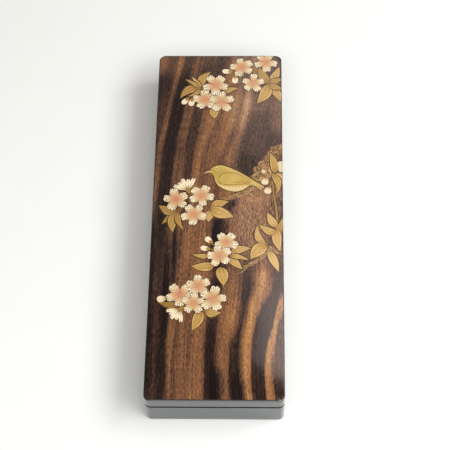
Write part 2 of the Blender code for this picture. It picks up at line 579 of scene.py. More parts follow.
# %% Make the base
def make_base():
    """The tray: foot, outer wall, shoulder, standing rim, inner wall and floor, in one profile."""
    shoulder = BASE_HEIGHT - SEAM_EDGE
    rim_outer = RIM_INSET + RIM_EDGE
    rim_inner = WALL - RIM_EDGE
    under_rim = RIM_TOP - RIM_EDGE
    floor_turn = WALL + INNER_FILLET
    # The single rows near the rounded edges are where the wear and the matt seam have faded out.
    profile = (
        wall(round_over(FOOT_EDGE, FOOT_EDGE, FOOT_EDGE, -90, 0), 0.0, CORNER, 1.0)
        + wall([(0.0, 3 * FOOT_EDGE)], 0.0, CORNER)
        + wall([(0.0, shoulder - 2 * SEAM_EDGE), (0.0, shoulder - 0.3 * SEAM_EDGE)], 0.0, CORNER)
        # The tray's seam edge is set matt: painted shade for the gap between lid and tray.
        + wall(round_over(SEAM_EDGE, shoulder, SEAM_EDGE, 0, 90), 0.0, CORNER, 1.0, 1.0)
        + wall([(RIM_INSET, BASE_HEIGHT)], RIM_INSET, RIM_CORNER)
        + wall(round_over(rim_outer, under_rim, RIM_EDGE, 0, 90), RIM_INSET, RIM_CORNER, 0.6)
        + wall(round_over(rim_inner, under_rim, RIM_EDGE, 90, 180), WALL, CAVITY_CORNER, 0.6)
        + wall(round_over(floor_turn, FLOOR + INNER_FILLET, -INNER_FILLET, 0, 90), WALL, CAVITY_CORNER)
    )
    bm = bmesh.new()
    carry_round(bm, profile)
    finish_piece("lacquered_base", bm, BLACK_LACQUER, ["base"])


make_base()


# %% Make the lid's carcass
def make_lid():
    """The lid below its board: ceiling, inner wall, seam edge, outer wall, and the glued top."""
    ceiling = BOARD_BOTTOM - GLUE_GAP - LID_CEILING
    turn = LID_WALL + INNER_FILLET
    profile = (
        wall(round_over(turn, ceiling - INNER_FILLET, INNER_FILLET, 90, 0), LID_WALL, LID_CAVITY_CORNER)
        + wall([(LID_WALL, LID_BOTTOM)], LID_WALL, LID_CAVITY_CORNER)
        # The lid's seam edge is set matt too: painted shade for the gap between lid and tray.
        + wall(round_over(SEAM_EDGE, LID_BOTTOM + SEAM_EDGE, SEAM_EDGE, -90, 0), 0.0, CORNER, 1.0, 1.0)
        + wall([(0.0, LID_BOTTOM + 1.3 * SEAM_EDGE), (0.0, LID_BOTTOM + 3 * SEAM_EDGE)], 0.0, CORNER)
        + wall([(0.0, BOARD_BOTTOM)], 0.0, CORNER)
    )
    bm = bmesh.new()
    carry_round(bm, profile)
    finish_piece("lacquered_lid", bm, BLACK_LACQUER, ["lid"])


make_lid()

# %% [markdown]
# ## The board and its grain
# Two spots that lighten the far left end are painted reflection: they lay in the lacquer's pale haze there.
#
# The board is made the same way, then cut into a fine net so that it has points to carry the grain. How far
# the growth lines have drifted sideways is read from three smooth curves: one for the left of the board,
# one for the right, which bends more, and one for the right edge. A dark heart shows as soft spots, each an
# ellipse that leans with the grain and darkens the wood or lightens it.
#
# Flat rings just inside the upper edge give the lacquer that runs over it a place to end, and let the four
# corners be rubbed down a little, as on a box that has been handled.

# %% Describe the grain
# Each drift curve: how far back on the board, and how far sideways, in millimetres.
LEFT_DRIFT = (
    (-123, 0), (-75, 0), (-30, -2), (0, -2.5), (43, 0), (60, 1.6), (75, 4), (90, 6.5), (110, 9.6), (130, 13),
)
RIGHT_DRIFT = (
    (-123, 0.5), (-105, -1.0), (-90, -0.8), (-80, 0.3), (-65, 2.6), (-50, 5.2), (-35, 6.8), (0, 9),
    (43, 11), (60, 15), (75, 18), (95, 21), (130, 26),
)
EDGE_DRIFT = ((-123, 0), (-100, 0.4), (-80, 2.2), (-65, 4), (-50, 5), (-35, 4), (0, 0), (130, 0))
BEND_FROM = -20.0
BEND_TO = 15.0
LEFT_PULL = 0.45
RIGHT_PULL = 0.55
CHANGE_LEFT = -2.0
CHANGE_RIGHT = -42.0
CHANGE_LENGTH = 36.0
CHANGE_RAGGED = 0.35
# Each spot: place, half its width and length, its lean in degrees, and how much it darkens, or lightens.
# The spots at (-39, 116) and (-28, 122) lighten the wood as painted reflection, the lacquer's pale haze.
HEART_AND_HAZE_SPOTS = (
    (2, -11, 4.2, 10, 8, 0.5), (15, -21, 4, 5, 0, 0.12), (25, -41, 5, 5, 0, -0.12), (36, 54, 5, 9, 0, 0.11),
    (-25, 48, 4, 6, 6, 0.08), (36, -116, 4, 8, 0, 0.12), (12.5, -115, 3, 9, 0, 0.13),
    (7.2, 7, 3.3, 5, 20, 0.46), (16, 36, 9, 8, 10, 0.1), (11.5, 56, 4, 12, 12, 0.1),
    (-27.8, -46, 3, 27, 2, 0.3), (-33, -44, 1.8, 26, 0, -0.1), (-39.5, -34, 2.2, 26, 0, 0.12),
    (-39, 116, 4, 9, 10, -0.25), (-23, -20, 3.5, 12, 0, 0.16), (-17.5, -20, 3, 14, 0, -0.12),
    (1.5, -114, 3.4, 11, 0, 0.34), (18.5, -117, 3, 7, 0, 0.14), (27, 17, 11, 7, 0, -0.24),
    (14, 9, 4, 5, 0, -0.12), (-10, 114, 4, 9, 10, 0.2), (11.6, -70, 2.4, 13, 8, -0.36),
    (24, -53, 4, 6, 8, 0.12), (20, -7, 10.5, 22, 6, -0.37), (12, 78, 8, 14, 10, -0.24),
    (27, 85, 10, 7, 0, -0.14), (-6, 77, 5, 8, 6, -0.13), (-36, 72, 4, 16, 6, -0.1),
    (4, 56, 3.5, 12, 10, -0.12), (-4, -42, 4, 5, 0, -0.17), (2, -70, 8, 8, 0, -0.11),
    (4, -53, 3, 5, 0, -0.12), (38, 74, 5, 12, 8, -0.16), (-28, 122, 15, 14, 0, -0.22),
)
SPOT_REACH = 1.6
print(len(HEART_AND_HAZE_SPOTS), "soft spots in the heartwood")


# %% Read the grain at a point
def rise(value, start, end):
    """0 at start, 1 at end, a smooth slope between, and level beyond. The end may be the smaller value."""
    share = min(max((value - start) / (end - start), 0.0), 1.0)
    return share * share * (3 - 2 * share)


def follow(points, place):
    """Reads a smooth curve through (place, value) points."""
    last = len(points) - 2
    i = max(k for k in range(last + 1) if k == 0 or points[k][0] <= place)
    slope = [
        (points[min(k + 1, last + 1)][1] - points[max(k - 1, 0)][1])
        / (points[min(k + 1, last + 1)][0] - points[max(k - 1, 0)][0])
        for k in (i, i + 1)
    ]
    span = points[i + 1][0] - points[i][0]
    t = min(max((place - points[i][0]) / span, 0.0), 1.0)
    near, far = points[i][1], points[i + 1][1]
    return (
        (2 * t**3 - 3 * t**2 + 1) * near
        + (t**3 - 2 * t**2 + t) * span * slope[0]
        + (3 * t**2 - 2 * t**3) * far
        + (t**3 - t**2) * span * slope[1]
    )


def back_share(x, y):
    """How far the figure has changed at this place, from the front end's bands, 0, to the back's, 1."""
    change = CHANGE_LEFT + (CHANGE_RIGHT - CHANGE_LEFT) * rise(x, -15, 20)
    ragged = CHANGE_RAGGED * CHANGE_LENGTH * noise.noise((x / 4, y / 30, 0.0))
    half = CHANGE_LENGTH / 2
    return rise(y + ragged - change, -half, half)


def calm_at(x, y):
    """How far the growth lines fade: fully at the back right, and not at all at the front or the left."""
    return rise(x, 2, 18) * (0.5 * rise(y, -45, -20) + 0.5 * rise(y, 15, 35))


def fineness_at(x, y):
    """How strong the fibres and clumps are: most right of the middle, and the same all over the rest."""
    return 1.3 + rise(x, 2, 14) * (1.8 * rise(y, -45, -20) - 1.9 * rise(y, 18, 36))


def heart_and_haze_at(x, y):
    """How much the spots darken this place, in millimetres from the middle of the board, or lighten it."""
    dark = 0.0
    for centre_x, centre_y, half_width, half_length, lean, depth in HEART_AND_HAZE_SPOTS:
        lean = math.radians(lean)
        dx, dy = x - centre_x, y - centre_y
        side = (dx * math.cos(lean) - dy * math.sin(lean)) / half_width
        run = (dx * math.sin(lean) + dy * math.cos(lean)) / half_length
        dark += depth * rise(math.hypot(side, run), SPOT_REACH, SPOT_REACH - 1)
    return dark


# %% Make the board
LACQUER_FULL = 0.5 * MM
LACQUER_END = 0.8 * MM
RUBBED_REACH = 2.2 * MM
RUBBED_DEPTH = 0.5 * MM
TOP_RINGS = (LACQUER_FULL, LACQUER_END, 1.2 * MM, 1.7 * MM, RUBBED_REACH)
FOOT_EASE = 0.15 * MM
CUT_ACROSS = 1.6 * MM
CUT_ALONG = 2.5 * MM


def add_grain(bm):
    """Writes the grain, the fibres' own direction and the dark heart to the board's points."""
    grain = bm.verts.layers.float_vector.new("grain")
    fibre = bm.verts.layers.float_vector.new("fibre")
    heart = bm.verts.layers.float_vector.new("heart")
    for vert in bm.verts:
        x, y = vert.co.x / MM, vert.co.y / MM
        left, right = follow(LEFT_DRIFT, y), follow(RIGHT_DRIFT, y)
        drift = left + (right - left) * rise(x, BEND_FROM, BEND_TO) + follow(EDGE_DRIFT, y) * rise(x, 20, 34)
        vert[grain] = ((x - drift) * MM, y * MM, back_share(x, y))
        vert[fibre] = ((x - LEFT_PULL * left - RIGHT_PULL * right) * MM, y * MM, vert.co.z)
        vert[heart] = (heart_and_haze_at(x, y), calm_at(x, y), fineness_at(x, y))


def cut_net(bm):
    """Cuts the mesh along evenly spaced planes, across the board and along it."""
    for axis, half, step in ((0, HALF_WIDTH, CUT_ACROSS), (1, HALF_LENGTH, CUT_ALONG)):
        normal = Vector((axis == 0, axis == 1, 0))
        count = int(half / step)
        for i in range(-count, count + 1):
            everything = list(bm.verts) + list(bm.edges) + list(bm.faces)
            bmesh.ops.bisect_plane(bm, geom=everything, plane_co=normal * (i * step), plane_no=normal)


def beyond_corner(place):
    """How far this place lies past the middle of a rounded corner, across the board and along it."""
    across = max(abs(place.x) - HALF_WIDTH + CORNER, 0.0)
    along = max(abs(place.y) - HALF_LENGTH + CORNER, 0.0)
    return across, along


def inset_at(place):
    """How far this place stands in from the rounded outline, or the corner radius if it is further in."""
    return CORNER - math.hypot(*beyond_corner(place))


def rub_corners(bm):
    """Lowers the four corners of the top: fully on their diagonals, and not at all where they end."""
    for vert in bm.verts:
        across, along = beyond_corner(vert.co)
        reach = math.hypot(across, along)
        share = 1 - inset_at(vert.co) / RUBBED_REACH
        if share > 0 and reach > 0 and vert.co.z > BOARD_BOTTOM + RUBBED_DEPTH:
            diagonal = min(3 * across * along / reach**2, 1.0)
            vert.co.z -= RUBBED_DEPTH * diagonal * share**1.4


def lacquer_edges(bm):
    """Marks the sides and the rounded upper edge, where black lacquer covers the wood."""
    lacquered = bm.verts.layers.float.new("lacquered")
    for vert in bm.verts:
        vert[lacquered] = 1 - rise(inset_at(vert.co), LACQUER_FULL, LACQUER_END)


def make_board():
    """The ebony board, its upper edge rounded over and its foot just eased."""
    profile = (
        wall([(FOOT_EASE, BOARD_BOTTOM), (0.0, BOARD_BOTTOM + FOOT_EASE)], 0.0, CORNER)
        + wall(round_over(TOP_EDGE, BOARD_TOP - TOP_EDGE, TOP_EDGE, 0, 90), 0.0, CORNER)
        + wall([(inset, BOARD_TOP) for inset in TOP_RINGS], 0.0, CORNER)
    )
    bm = bmesh.new()
    carry_round(bm, profile)
    cut_net(bm)
    rub_corners(bm)
    add_grain(bm)
    lacquer_edges(bm)
    finish_piece("ebony_top_board", bm, STRIPED_EBONY, ["lid_top_board"])


make_board()

# %% [markdown]
# ## Paint as thin films
#
# The picture is painted in many thin coats that overlap: gold powder sprinkled on wet lacquer for leaves and
# twigs, and ground pigments for the blossoms and the bird. Each coat is a film a few hundredths of a
# millimetre thick, with a crisp edge. So each petal or leaf is a small grid, laid on the board by a rule
# that turns the grid's two directions into a place, then given its thickness. The overlaps are real
# overlaps, and the films swell a little in the middle, as a brushful of paint does.
#
# Every point keeps where it lies on its own film, and a shade from 0, dark, to 1, light. The materials
# turn the shade into a colour, so one gold material serves dark twigs and bright leaves.

# %% Lay a film on the board
LAYER = 0.022 * MM
FILM_THICKNESS = 0.05 * MM
FILM_SWELL = 0.7
PICTURE_MARGIN = 0.12 * MM


def on_board(x, y, layer):
    """The board's surface at x and y, in millimetres, raised by so many layers of paint."""
    inset = min(HALF_WIDTH - abs(x) * MM, HALF_LENGTH - abs(y) * MM)
    run = min(max(TOP_EDGE - inset, 0.0), TOP_EDGE)
    drop = TOP_EDGE - math.sqrt(TOP_EDGE**2 - run**2)
    return Vector((x * MM, y * MM, BOARD_TOP - drop + layer * LAYER))


def lay_film(bm, steps, layer, place, shade):
    """Lays a grid by place(u, v): u runs from 0 to 1 along the film, and v from -1 to 1 across it."""
    paint = bm.verts.layers.float_vector["paint"]
    grid = bmesh.ops.create_grid(bm, x_segments=steps[0], y_segments=steps[1], size=0.5)["verts"]
    for vert in grid:
        u, v = vert.co.x + 0.5, 2 * vert.co.y
        swell = FILM_SWELL * (1 - v * v) * math.sin(math.pi * u)
        vert.co = on_board(*place(u, v), layer + swell)
        vert[paint] = (u, v, shade(u, v) if callable(shade) else shade)


def new_picture():
    """An empty bmesh whose points can carry paint."""
    bm = bmesh.new()
    bm.verts.layers.float_vector.new("paint")
    return bm


def finish_picture(name, bm, material):
    """Trims the films at the board's edges, turns them face up, and gives them their thickness."""
    for corner in ((HALF_WIDTH - PICTURE_MARGIN, 0, 0), (0, HALF_LENGTH - PICTURE_MARGIN, 0)):
        everything = list(bm.verts) + list(bm.edges) + list(bm.faces)
        bmesh.ops.bisect_plane(
            bm, geom=everything, plane_co=corner, plane_no=Vector(corner).normalized(), clear_outer=True
        )
    bm.normal_update()
    bmesh.ops.reverse_faces(bm, faces=[face for face in bm.faces if face.normal.z < 0])
    bmesh.ops.solidify(bm, geom=list(bm.faces), thickness=FILM_THICKNESS)
    finish_piece(name, bm, material)


# %% [markdown]
# ## Paint materials
#
# Sprinkled gold is not leaf: it is powder, so it glows softly instead of shining, and it looks grainy where
# it thins out. A colour that is part metal and quite rough gives that glow. The bark is duller, brown with
# gold in it, and the bird's green has a little gold dusted over it. The blossoms are plain matt pigment. All
# of them lie under the same clear coat as the wood.


# %% Describe a paint
def paint_material(name, stops, metallic, roughness, grain_mm, grain_depth, rays=0.0, veins=0.0):
    """A paint whose colour is read from a ramp by the film's shade, with grain, rays or leaf veins."""
    material, tree = new_material(name)
    paint = node(tree, "ShaderNodeAttribute", attribute_name="paint").outputs["Vector"]
    axes = node(tree, "ShaderNodeSeparateXYZ", {"Vector": paint})
    place = node(tree, "ShaderNodeTexCoord").outputs["Object"]
    powder = node(
        tree,
        "ShaderNodeTexNoise",
        {"Vector": place, "Scale": 1 / (grain_mm * MM), "Detail": 3.0, "Roughness": 0.65},
    )
    textures = [(powder, grain_depth)]
    if rays:
        # Fine strokes that run from the heart of a petal, or the foot of a leaf, to its end.
        stretched = node(tree, "ShaderNodeMapping", {"Vector": paint, "Scale": (0.8, 7.0, 0.0)})
        strokes = node(tree, "ShaderNodeTexNoise", {"Vector": stretched, "Scale": 1.0, "Detail": 2.0})
        textures.append((strokes, rays))
    shade = axes.outputs["Z"]
    for texture, depth in textures:
        shade = node(tree, "ShaderNodeMath", {0: texture, 1: depth, 2: shade}, operation="MULTIPLY_ADD")
        shade = node(tree, "ShaderNodeMath", {0: shade, 1: depth / 2}, operation="SUBTRACT")
    if veins:
        # Side veins that slant forward, a light midrib and a bright rim, each with its start and end.
        side = node(tree, "ShaderNodeMath", {0: axes.outputs["Y"]}, operation="ABSOLUTE")
        slant = node(
            tree, "ShaderNodeMath", {0: side, 1: -0.22, 2: axes.outputs["X"]}, operation="MULTIPLY_ADD"
        )
        beat = node(tree, "ShaderNodeMath", {0: slant, 1: 0.13}, operation="PINGPONG")
        for value, start, end, from_tone, to_tone in (
            (beat, 0.0, 0.03, veins, 0.0),
            (side, 0.04, 0.16, 2 * veins, 0.0),
            (side, 0.72, 0.95, 0.0, 1.5 * veins),
        ):
            line = node(
                tree,
                "ShaderNodeMapRange",
                {"Value": value, "From Min": start, "From Max": end, "To Min": from_tone, "To Max": to_tone},
            )
            shade = node(tree, "ShaderNodeMath", {0: shade, 1: line})
    colour = node(
        tree,
        "ShaderNodeValToRGB",
        {"Fac": shade},
        [(stop, linear(hex_colour)) for stop, hex_colour in stops],
    )
    under_clear_lacquer(
        tree, {"Base Color": colour, "Metallic": metallic, "Roughness": roughness, "Specular IOR Level": 0.0}
    )
    print("material:", name)
    return material


# %% Make the paints
GOLD = paint_material(
    "sprinkled_gold_under_clear_lacquer",
    ((0.0, "#2A1C12"), (0.25, "#644A2C"), (0.5, "#916E3D"), (0.75, "#B8924F"), (1.0, "#DFB878")),
    metallic=0.3,
    roughness=0.45,
    grain_mm=0.7,
    grain_depth=0.4,
    rays=0.24,
    veins=0.05,
)
BARK = paint_material(
    "brown_and_gold_powder_for_bark",
    ((0.0, "#2A1E16"), (0.25, "#64482F"), (0.5, "#93704A"), (0.75, "#B48D5F"), (1.0, "#CFA978")),
    metallic=0.2,
    roughness=0.5,
    grain_mm=0.6,
    grain_depth=0.4,
)
BLOSSOM = paint_material(
    "shell_white_and_pink_pigment",
    (
        (0.0, "#4F331F"), (0.05, "#B57158"), (0.12, "#C48B66"), (0.3, "#C89B74"), (0.55, "#CBAD84"),
        (0.8, "#D9C69E"), (1.0, "#F3E2C2"),
    ),
    metallic=0.0,
    roughness=0.6,
    grain_mm=0.4,
    grain_depth=0.1,
    rays=0.3,
)
BIRD = paint_material(
    "moss_green_and_cream_pigment",
    (
        (0.0, "#33260F"), (0.2, "#776324"), (0.45, "#AE9240"), (0.65, "#C4A655"), (0.8, "#D6B57C"),
        (1.0, "#E8CC9A"),
    ),
    metallic=0.15,
    roughness=0.5,
    grain_mm=0.9,
    grain_depth=0.24,
)

# %% [markdown]
# ## Cherry blossoms
#
# A cherry blossom has five petals, each notched at its tip. In the polar grid of one petal, u runs from the
# heart outwards and v across its width. The reach of the rim is a short formula: full reach, less a notch in
# the middle, less the rounding of the shoulders, with a slight ripple. Each petal lies on a dark film that
# is a little larger and shows as its outline, and fine dark lines run in from its rim. Some blossoms stand
# upright and some hang down, which only turns them.

# %% Paint the blossoms
PETALS = 5
PETAL_HALF_ANGLE = math.radians(38)
PETAL_LINES = (-0.7, -0.36, 0.0, 0.36, 0.7)
PETAL_SEED = 5
PETAL_OUTLINE = 0.35
NOTCH_DEPTH = 0.1
NOTCH_WIDTH = 0.12
SHOULDER_DEPTH = 0.42
RIPPLE_DEPTH = 0.022
# Each blossom: place, radius, turn in degrees, layer of paint, and how much deeper its pink is.
BLOSSOMS = (
    (-3.0, 98.7, 7.6, -90, 8.5, 0.0), (-9.2, 87.0, 7.4, 98, 5.5, 0.04), (1.2, 85.2, 8.0, 90, 7.0, 0.0),
    (14.0, 113.5, 7.1, 180, 7.0, 0.06), (29.5, 117.6, 7.4, -82, 5.5, 0.06), (21.5, 100.6, 7.2, 88, 7.0, 0.0),
    (-25.8, 10.8, 7.7, 100, 7.0, 0.08), (-10.0, 13.5, 7.4, -82, 5.5, 0.0), (-14.5, 0.0, 7.3, -90, 8.5, 0.02),
    (5.3, -19.8, 6.9, -90, 5.5, -0.02), (1.5, -29.0, 7.0, 30, 8.5, 0.0), (-21.3, -55.5, 7.4, -90, 5.5, 0.08),
    (-10.8, -49.5, 7.2, 95, 5.5, 0.02), (-1.7, -58.2, 7.8, 80, 7.0, 0.0), (-13.2, -61.4, 6.8, 90, 8.5, 0.02),
)


def polar(centre, angle, reach):
    """The point that lies this far from centre at this angle."""
    return centre[0] + reach * math.cos(angle), centre[1] + reach * math.sin(angle)


def petal_rim(v, ripple):
    """How far the rim reaches at v, as a share of the petal's length."""
    notch = NOTCH_DEPTH * math.exp(-((v / NOTCH_WIDTH) ** 2))
    shoulder = SHOULDER_DEPTH * abs(v) ** 3.2
    return 1.02 - notch - shoulder + RIPPLE_DEPTH * math.sin(10 * v + ripple)


def petal_shade(u, v):
    """Pink at the heart, cream at the rim, and a fine brown edge where it meets the next petal."""
    edge = 0.72 * rise(abs(v), 0.8, 0.96) * rise(u, 0.35, 0.55)
    return 0.15 + 0.9 * rise(u, 0.1, 0.95) - edge


def half_open_shade(u, v):
    """Cream nearly to the foot, with the same brown edge."""
    return 0.5 + 0.45 * rise(u, 0.0, 0.5) - 0.6 * rise(abs(v), 0.8, 0.98)


def paint_petal(bm, centre, angle, length, layer, spread, ripple, shade, steps=(9, 24)):
    """One petal, from its narrow foot to its notched tip."""

    def place(u, v):
        share = 0.06 + 0.94 * u
        drawn_in = 1 - 0.2 * rise(u, 0.45, 1.0)
        return polar(centre, angle + spread * v * drawn_in, length * share * petal_rim(v * u, ripple))

    lay_film(bm, steps, layer, place, shade)


def paint_dot(bm, centre, radius, layer, shade, sides=10):
    """A small round dot of paint."""
    paint = bm.verts.layers.float_vector["paint"]
    ring = bmesh.ops.create_circle(bm, cap_ends=True, radius=radius, segments=sides)["verts"]
    for vert in ring:
        vert.co = on_board(centre[0] + vert.co.x, centre[1] + vert.co.y, layer)
        vert[paint] = (0.5, 0.0, shade)


def paint_stroke(bm, centre, angle, start, length, width, layer, shade, tip=0.4):
    """A straight fine stroke that leaves centre at this angle. Its end is tip times as wide as its start."""

    def place(u, v):
        x, y = polar(centre, angle, start + length * u)
        half = 0.5 * width * (1 + tip + (tip - 1) * math.cos(math.pi * (1 - u))) / 2
        return x - half * v * math.sin(angle), y + half * v * math.cos(angle)

    lay_film(bm, (2, 1), layer, place, shade)


def paint_blossoms():
    """Every open blossom: petals with fine dark lines at their rims, then stamens with their dots."""
    bm, lines = new_picture(), new_picture()
    chance = random.Random(PETAL_SEED)
    for x, y, radius, turn, layer, deeper in BLOSSOMS:

        def shade(u, v):
            return petal_shade(u, v) - deeper

        for i in range(PETALS):
            middle = math.radians(turn + 360 * i / PETALS + chance.uniform(-5, 5))
            length = radius * chance.uniform(0.97, 1.1)
            spread = PETAL_HALF_ANGLE * chance.uniform(0.9, 1.06)
            ripple = chance.uniform(0, 6.3)
            height = layer + 0.25 * (i % 2) + 0.25 * (i == PETALS - 1)
            outer, lower = length + PETAL_OUTLINE, height - 0.7
            paint_petal(bm, (x, y), middle, outer, lower, 1.04 * spread, ripple, -0.1, (6, 16))
            paint_petal(bm, (x, y), middle, length, height, spread, ripple, shade)
            for v in PETAL_LINES:
                side = v + chance.uniform(-0.08, 0.08)
                rim = length * petal_rim(side, ripple)
                dash = length * chance.uniform(0.12, 0.26)
                angle = middle + 0.84 * spread * side
                tone = chance.uniform(0.08, 0.34)
                paint_stroke(lines, (x, y), angle, 0.97 * rim - dash, dash, 0.34, layer + 1.3, tone, 1.0)
        for i in range(2 * PETALS):
            angle = math.radians(turn + 180 * i / PETALS + 18)
            reach = radius * (0.36 if i % 2 else 0.26)
            paint_stroke(bm, (x, y), angle, 0.3, reach, 0.16, layer + 1.4, 0.3)
            paint_dot(bm, polar((x, y), angle, reach + 0.4), 0.2, layer + 1.7, 0.7, 8)
        paint_dot(bm, (x, y), 0.5, layer + 1.7, 0.14)
    finish_picture("blossoms", bm, BLOSSOM)
    finish_picture("petal_lines", lines, GOLD)


paint_blossoms()

# %% [markdown]
# ## Buds and half-open flowers
#
# A bud is a pointed oval with its petals still wrapped, held in a small gold cup at its foot. A half-open
# flower is five narrow petals fanned from one foot, in a cup of its own. The cups are painted with the
# twigs, because they are gold.

# %% Paint the buds
# Each bud: the place of its foot, its turn in degrees, its length and width, and how light it is.
BUDS = (
    (-20.3, 88.2, -127, 6.0, 3.6, 0.95), (-17.6, 87.6, -98, 5.8, 3.8, 0.95),
    (7.8, 109.6, 176, 6.6, 3.6, 0.95), (9.9, 106.6, -92, 6.6, 3.9, 0.95),
    (29.9, 26.8, -108, 5.3, 4.4, 0.88), (31.4, 20.0, -104, 5.1, 4.4, 0.88), (28.9, 29.6, 114, 3.5, 2.3, 0.82),
    (42.0, 37.0, 186, 5.2, 5.0, 0.8), (42.0, 33.0, 170, 4.8, 4.6, 0.8),
    (-3.0, -20.2, 134, 5.6, 3.6, 0.95), (-4.2, -24.6, 168, 5.8, 3.4, 0.95),
    (-29.2, -58.2, 186, 5.6, 4.2, 0.88),
)
BUD_LAYER = 6
HALF_OPEN_SPREAD = math.radians(14.5)
# Each half-open flower: the place of its foot, its length, the turn of each petal, and its layer of paint.
HALF_OPEN = (
    (-18.3, 17.2, 9.6, (70, 92, 115, 137, 158), 4), (-20.4, -65.2, 8.4, (272, 249, 228, 208, 188), 6),
)


def paint_lens(bm, base, tip, width, layer, shade, bend=0.0, steps=(10, 8), blunt=0.8, foot=0.7):
    """A leaf-shaped film from base to tip. bend is how far its middle bulges to the left, per length."""
    along = Vector(tip) - Vector(base)
    side = Vector((-along.y, along.x))
    peak = (foot / (foot + blunt)) ** foot * (blunt / (foot + blunt)) ** blunt

    def place(u, v):
        centre = Vector(base) + along * u + side * (bend * 4 * u * (1 - u))
        half = max(0.5 * width * (u**foot * (1 - u) ** blunt) / peak, 0.04)
        return centre + side.normalized() * (half * v)

    lay_film(bm, steps, layer, place, shade)


def bud_shade(tone):
    """Cream, with a little pink where the petals leave the cup, and a faint line between two petals."""
    return lambda u, v: tone - 0.35 * rise(u, 0.6, 0.0) - 0.1 * math.exp(-(((v - 0.25) / 0.12) ** 2))


def paint_buds():
    """Buds and half-open flowers."""
    bm = new_picture()
    for x, y, turn, length, width, tone in BUDS:
        tip = polar((x, y), math.radians(turn), length)
        paint_lens(bm, (x, y), tip, width, BUD_LAYER, bud_shade(tone), blunt=0.42, foot=0.6)
    for x, y, length, turns, layer in HALF_OPEN:
        for i, turn in enumerate(turns):
            reach, angle = length * (1.0 - 0.12 * (i % 2)), math.radians(turn)
            height = layer + 0.4 * (i % 2)
            paint_petal(bm, (x, y), angle, reach, height, HALF_OPEN_SPREAD, i, half_open_shade)
            paint_stroke(bm, (x, y), angle, 0.2 * reach, 0.45 * reach, 0.3, layer + 1.3, 0.0)
            paint_stroke(bm, (x, y), angle, 0.8 * reach, 0.12 * reach, 0.3, layer + 1.3, 0.0, 1.0)
    finish_picture("buds", bm, BLOSSOM)


paint_buds()

# %% [markdown]
# ## Gold leaves
#
# The leaves are sprinkled gold, each with a light midrib, slanting side veins and a brighter rim. A leaf is
# given by its foot, its tip, its width and how much it bends, as a painter would set it down in two strokes,
# and by how light its gold is. It lies on a darker film that is a little larger and shows as its outline.

# %% Paint the leaves
# Each leaf: the places of its foot and its tip, its width, how far it bends, and how light it is.
LEAVES = (
    (-13.0, 98.0, -6.3, 109.4, 5.4, 0.12, 0.74), (-12.6, 97.2, -18.2, 105.4, 2.8, 0.0, 0.92),
    (-13.2, 96.8, -22.4, 103.2, 2.7, -0.04, 0.76), (-13.0, 96.2, -25.2, 88.0, 5.6, -0.2, 0.68),
    (-12.5, 95.2, -20.2, 89.6, 2.8, 0.1, 0.74), (3.0, 92.6, 11.8, 96.2, 3.8, 0.1, 0.76),
    (-4.0, 80.4, -2.8, 72.0, 5.6, 0.0, 0.78),
    (27.0, 105.5, 20.6, 115.0, 4.6, 0.06, 0.46), (31.2, 100.0, 25.2, 113.2, 5.6, 0.04, 0.66),
    (32.0, 100.4, 38.4, 113.6, 5.2, -0.06, 0.78), (32.0, 99.8, 41.5, 104.0, 4.0, 0.06, 0.68),
    (32.0, 99.2, 41.0, 95.5, 4.0, -0.06, 0.70), (32.6, 98.8, 39.2, 85.6, 5.6, 0.06, 0.78),
    (31.6, 98.8, 24.0, 84.2, 7.2, 0.08, 0.80),
    (-25.2, 2.4, -35.8, 6.4, 5.8, 0.14, 0.62), (-25.0, 1.4, -33.6, -6.8, 3.4, -0.04, 0.60),
    (-25.2, 1.6, -26.9, -12.8, 5.6, -0.1, 0.70), (-24.2, 1.8, -20.3, -11.2, 3.4, -0.12, 0.66),
    (-25.0, 1.8, -20.8, 5.6, 2.4, 0.0, 0.38),
    (-3.8, 3.6, 6.8, 9.2, 5.8, 0.14, 0.76), (-3.9, 3.6, 9.8, -1.6, 7.4, -0.02, 0.84),
    (-4.2, 2.6, -5.4, -5.3, 5.2, -0.06, 0.84),
    (35.2, 30.5, 32.2, 45.6, 5.0, -0.06, 0.78), (33.4, 30.2, 36.8, 15.6, 4.4, 0.14, 0.78),
    (36.4, 30.5, 40.8, 20.5, 4.4, 0.1, 0.94),
    (36.0, -8.8, 30.4, 1.4, 4.8, 0.05, 0.88), (35.6, -13.4, 25.4, -7.4, 4.6, 0.07, 0.82),
    (37.4, -12.8, 39.6, -2.6, 4.4, -0.06, 0.70), (36.2, -10.8, 38.0, -25.8, 5.6, -0.06, 0.86),
    (28.8, -20.8, 24.4, -7.8, 4.2, 0.17, 0.84), (29.2, -21.2, 20.2, -31.2, 7.8, -0.06, 0.82),
    (31.2, -25.8, 37.0, -39.8, 4.9, 0.02, 0.92),
    (-4.5, -29.5, -14.6, -28.3, 3.2, 0.04, 0.78), (-1.5, -36.0, -15.0, -36.2, 5.8, 0.05, 0.78),
    (8.5, -27.0, 20.4, -23.8, 4.9, 0.08, 0.82), (8.0, -29.0, 19.0, -31.8, 3.2, 0.05, 0.82),
    (7.0, -31.0, 15.2, -38.4, 4.6, 0.06, 0.82), (2.0, -37.0, 4.4, -49.6, 6.8, 0.05, 0.80),
    (-22.0, -62.5, -33.6, -60.6, 3.8, 0.08, 0.54), (-9.0, -66.0, -13.6, -79.2, 6.2, 0.05, 0.76),
    (-6.0, -64.5, 3.4, -67.3, 5.4, -0.22, 0.74),
)
LEAF_OUTLINE = 1.4
# The grid of a leaf, and how blunt its tip and its foot are.
LEAF_FORM = ((14, 14), 1.05, 0.6)
LEAF_OUTLINE_FORM = ((14, 8), 1.05, 0.6)


def leaf_shade(tone):
    """Gold that is a little darker at the foot and along the middle, and fullest near the rim."""
    return lambda u, v: tone - 0.16 * rise(u, 0.4, 0.0) + 0.14 * rise(abs(v), 0.5, 0.9)


